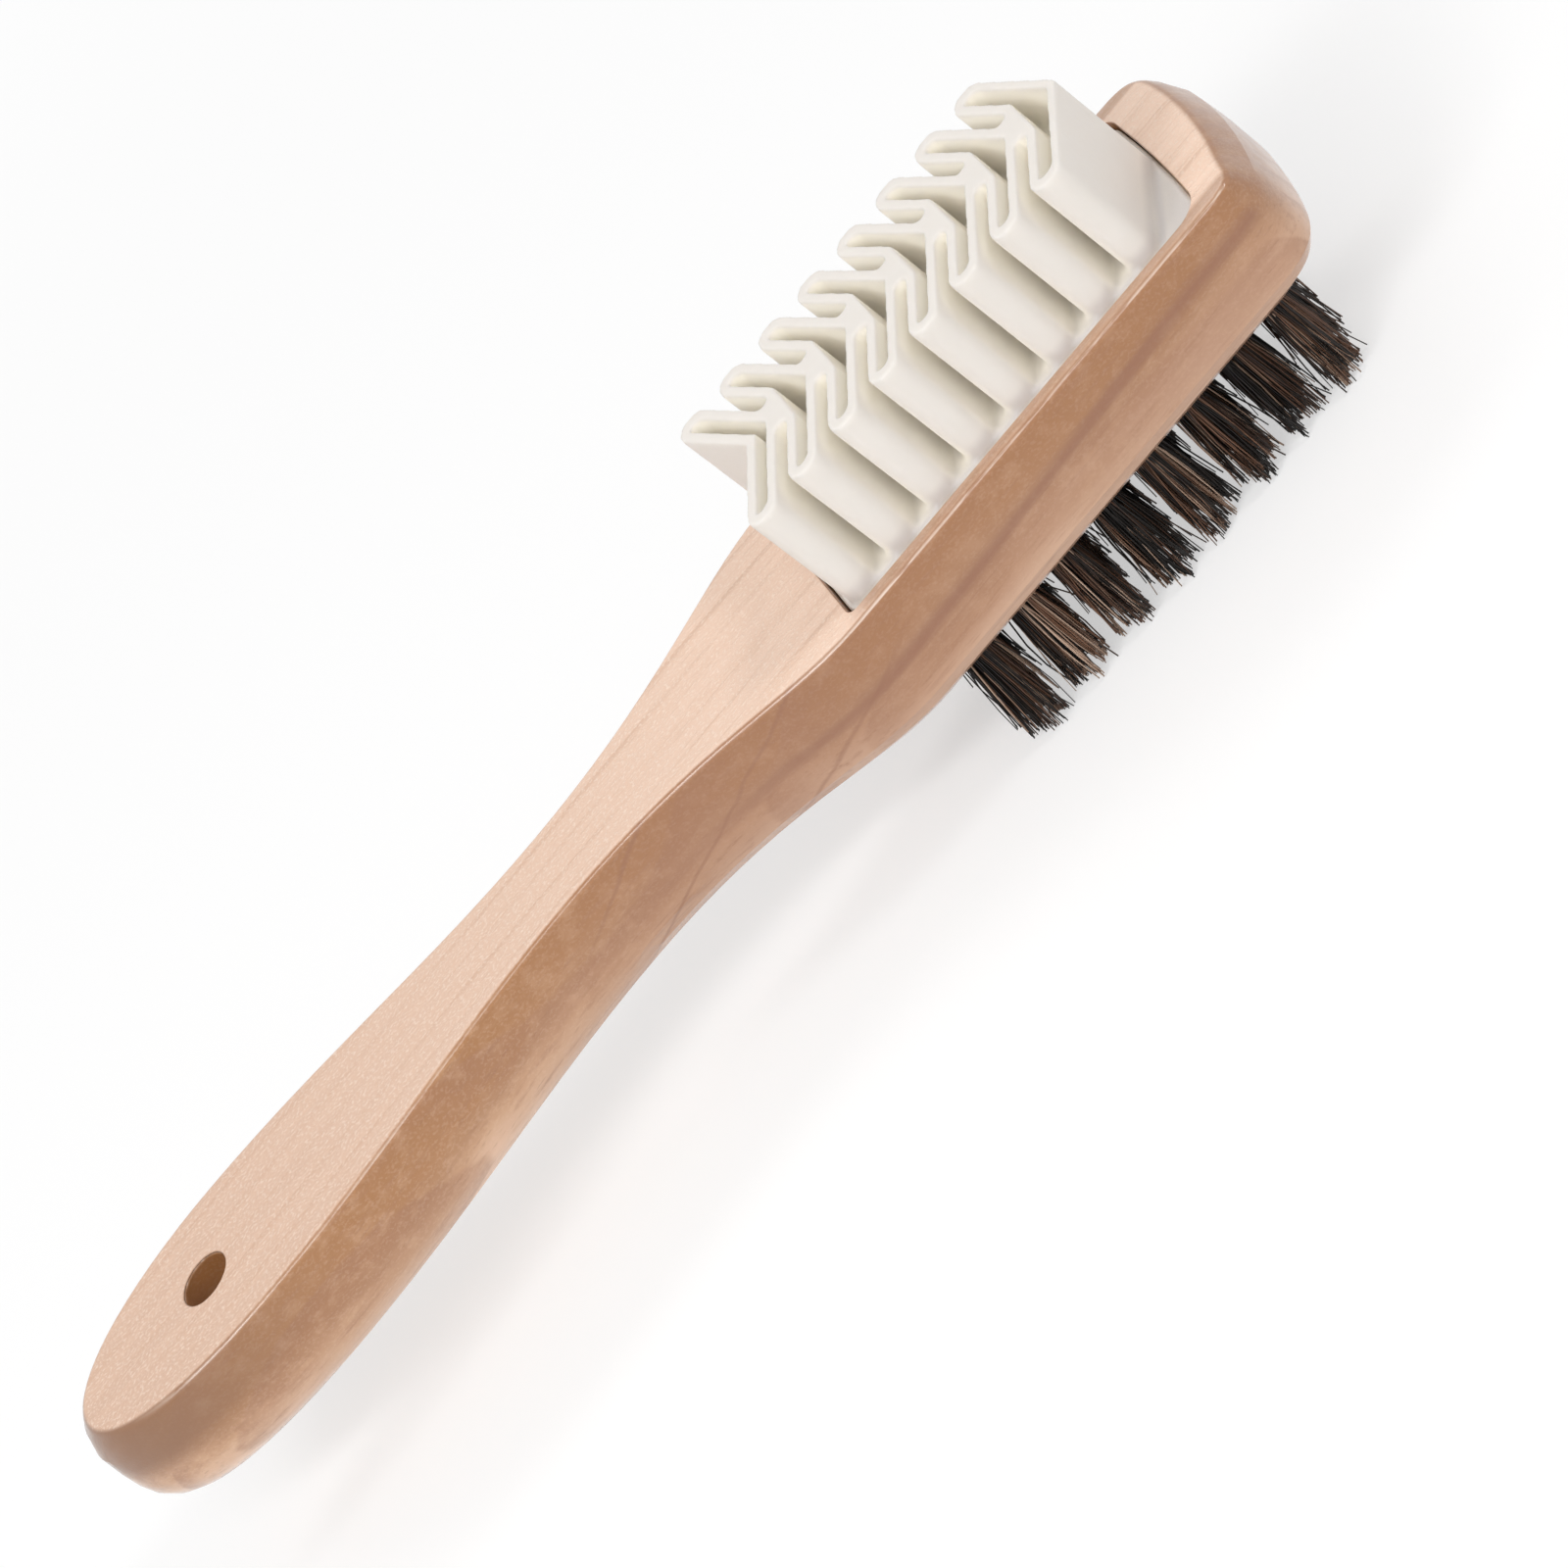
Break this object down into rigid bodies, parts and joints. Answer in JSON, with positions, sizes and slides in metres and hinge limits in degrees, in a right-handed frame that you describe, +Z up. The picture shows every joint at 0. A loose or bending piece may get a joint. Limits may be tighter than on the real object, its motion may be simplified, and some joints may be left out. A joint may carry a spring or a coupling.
{
  "type": "suede brush",
  "caption": "Wooden suede brush with a waisted handle and hanging hole, a block of hollow V-shaped crepe rubber cells on top of the head and rows of dark bristle tufts underneath.",
  "frame": {"origin": "under the middle of the brush, level with the bristle tips", "axes": "+X along the brush from the handle end to the head end, +Z up from the bristles to the crepe rubber, +Y to the left seen from the handle"},
  "size_m": [0.2, 0.0352, 0.0468],
  "materials": {
    "wood": "satin varnish on the sides, sanded on the top face",
    "crepe_rubber": "soft matte, slightly translucent",
    "adhesive": "cured glue film",
    "anchor_wire": "drawn flat wire",
    "bristle": "stiff natural hair, dark brown to black with paler strands"
  },
  "bodies": {
    "root": {"brush_body": "wood", "crepe_insert": "crepe_rubber", "insert_adhesive": "adhesive", "tuft_anchors": "anchor_wire", "tuft_row1_col1": "bristle", "tuft_row1_col2": "bristle", "tuft_row1_col3": "bristle", "tuft_row1_col4": "bristle", "tuft_row1_col5": "bristle", "tuft_row1_col6": "bristle", "tuft_row1_col7": "bristle", "tuft_row1_col8": "bristle", "tuft_row2_col1": "bristle", "tuft_row2_col2": "bristle", "tuft_row2_col3": "bristle", "tuft_row2_col4": "bristle", "tuft_row2_col5": "bristle", "tuft_row2_col6": "bristle", "tuft_row2_col7": "bristle", "tuft_row2_col8": "bristle", "tuft_row3_col1": "bristle", "tuft_row3_col2": "bristle", "tuft_row3_col3": "bristle", "tuft_row3_col4": "bristle", "tuft_row3_col5": "bristle", "tuft_row3_col6": "bristle", "tuft_row3_col7": "bristle", "tuft_row3_col8": "bristle", "tuft_row4_col1": "bristle", "tuft_row4_col2": "bristle", "tuft_row4_col3": "bristle", "tuft_row4_col4": "bristle", "tuft_row4_col5": "bristle", "tuft_row4_col6": "bristle", "tuft_row4_col7": "bristle", "tuft_row4_col8": "bristle"}
  },
  "joints": []
}
